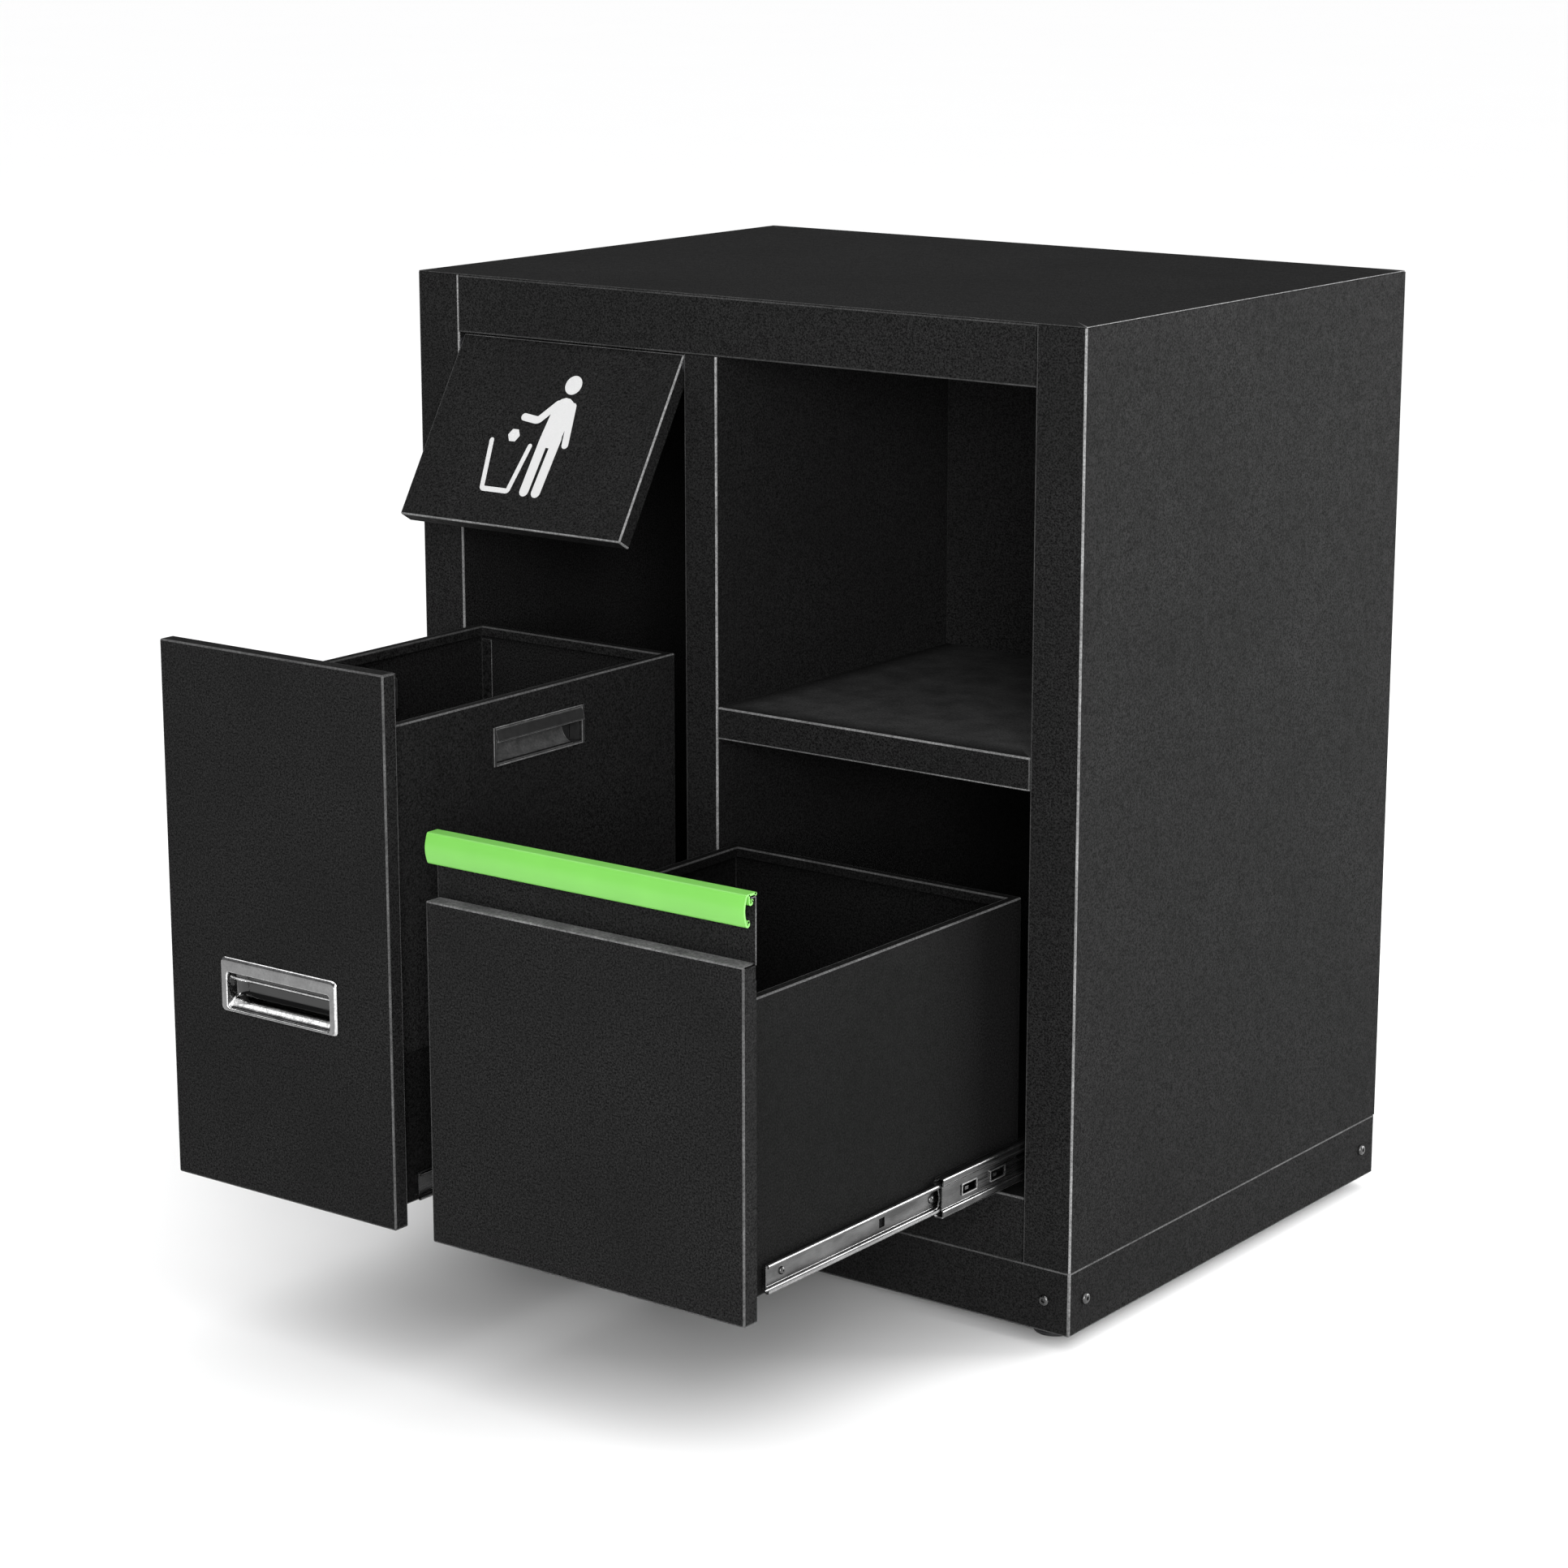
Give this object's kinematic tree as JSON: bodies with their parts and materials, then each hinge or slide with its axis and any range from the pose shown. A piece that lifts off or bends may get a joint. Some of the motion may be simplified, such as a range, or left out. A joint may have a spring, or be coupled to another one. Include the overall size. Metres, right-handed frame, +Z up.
{
  "type": "waste sorting cabinet",
  "caption": "Free-standing sheet-steel waste cabinet with a top-hung flap, an open compartment, pull-out drawers on ball-bearing slides, a lift-out bin and a green profile handle.",
  "frame": {"origin": "on the floor, at the centre of the outline with both drawers pulled out and the flap open", "axes": "+X to the right seen from the front, -Y the side the drawers open to, +Z up"},
  "size_m": [0.7566, 0.9704, 0.915],
  "materials": {
    "black_powder_coat": "fine texture, matt",
    "green_profile": "satin",
    "chrome": "polished",
    "zinc_plate": "bright zinc",
    "rubber": "matt",
    "black_nylon": "moulded"
  },
  "bodies": {
    "cabinet": {"left_side_panel": "black_powder_coat", "right_side_panel": "black_powder_coat", "top_panel": "black_powder_coat", "back_panel": "black_powder_coat", "floor_panel": "black_powder_coat", "plinth": "black_powder_coat", "divider_panel": "black_powder_coat", "shelf": "black_powder_coat", "compartment_back": "black_powder_coat", "plinth_screw_front_left": "zinc_plate", "plinth_screw_front_right": "zinc_plate", "plinth_screw_back_left": "zinc_plate", "plinth_screw_back_right": "zinc_plate", "plinth_screw_left_front": "zinc_plate", "plinth_screw_left_back": "zinc_plate", "plinth_screw_right_front": "zinc_plate", "plinth_screw_right_back": "zinc_plate", "foot_gusset_front_left": "black_powder_coat", "foot_pad_front_left": "black_nylon", "foot_stud_front_left": "zinc_plate", "foot_gusset_front_right": "black_powder_coat", "foot_pad_front_right": "black_nylon", "foot_stud_front_right": "zinc_plate", "foot_gusset_back_left": "black_powder_coat", "foot_pad_back_left": "black_nylon", "foot_stud_back_left": "zinc_plate", "foot_gusset_back_right": "black_powder_coat", "foot_pad_back_right": "black_nylon", "foot_stud_back_right": "zinc_plate", "waste_slide_outer_left": "zinc_plate", "waste_slide_outer_right": "zinc_plate", "paper_slide_outer_left": "zinc_plate", "paper_slide_outer_right": "zinc_plate", "flap_bush_left": "black_nylon", "flap_buffer_left": "rubber", "flap_bush_right": "black_nylon", "flap_buffer_right": "rubber"},
    "flap": {"flap_panel": "black_powder_coat", "flap_pin_left": "zinc_plate", "flap_pin_right": "zinc_plate"},
    "waste_drawer": {"waste_drawer_front": "black_powder_coat", "recessed_pull": "chrome", "waste_drawer_tray": "black_powder_coat", "front_buffer_left": "rubber", "front_buffer_right": "rubber", "waste_slide_inner_left": "zinc_plate", "waste_slide_inner_right": "zinc_plate"},
    "waste_bin": {"waste_bin": "black_powder_coat", "bin_grip_left": "black_powder_coat", "bin_grip_right": "black_powder_coat"},
    "waste_middle_rails": {"waste_slide_middle_left": "zinc_plate", "waste_slide_middle_right": "zinc_plate"},
    "paper_drawer": {"paper_drawer_front": "black_powder_coat", "green_handle": "green_profile", "paper_drawer_box": "black_powder_coat", "paper_slide_inner_left": "zinc_plate", "paper_slide_inner_right": "zinc_plate"},
    "paper_middle_rails": {"paper_slide_middle_left": "zinc_plate", "paper_slide_middle_right": "zinc_plate"}
  },
  "joints": [
    {"name": "flap_hinge", "type": "hinge", "parent": "cabinet", "child": "flap", "pos_m": [-0.19, -0.07055, 0.8485], "axis": [-1, 0, 0], "range_deg": [-31, 45]},
    {"name": "waste_drawer_slide", "type": "slide", "parent": "cabinet", "child": "waste_drawer", "axis": [0, -1, 0], "range_m": [-0.405, 0]},
    {"name": "waste_middle_slide", "type": "slide", "parent": "cabinet", "child": "waste_middle_rails", "axis": [0, -1, 0], "range_m": [-0.2025, 0]},
    {"name": "waste_bin_lift", "type": "slide", "parent": "waste_drawer", "child": "waste_bin", "axis": [0, 0, 1], "range_m": [0, 0.085]},
    {"name": "paper_drawer_slide", "type": "slide", "parent": "cabinet", "child": "paper_drawer", "axis": [0, -1, 0], "range_m": [-0.405, 0]},
    {"name": "paper_middle_slide", "type": "slide", "parent": "cabinet", "child": "paper_middle_rails", "axis": [0, -1, 0], "range_m": [-0.2025, 0]}
  ],
  "couplings": [
    {"joint": "waste_middle_slide", "follows": "waste_drawer_slide", "ratio": 0.5},
    {"joint": "paper_middle_slide", "follows": "paper_drawer_slide", "ratio": 0.5}
  ]
}
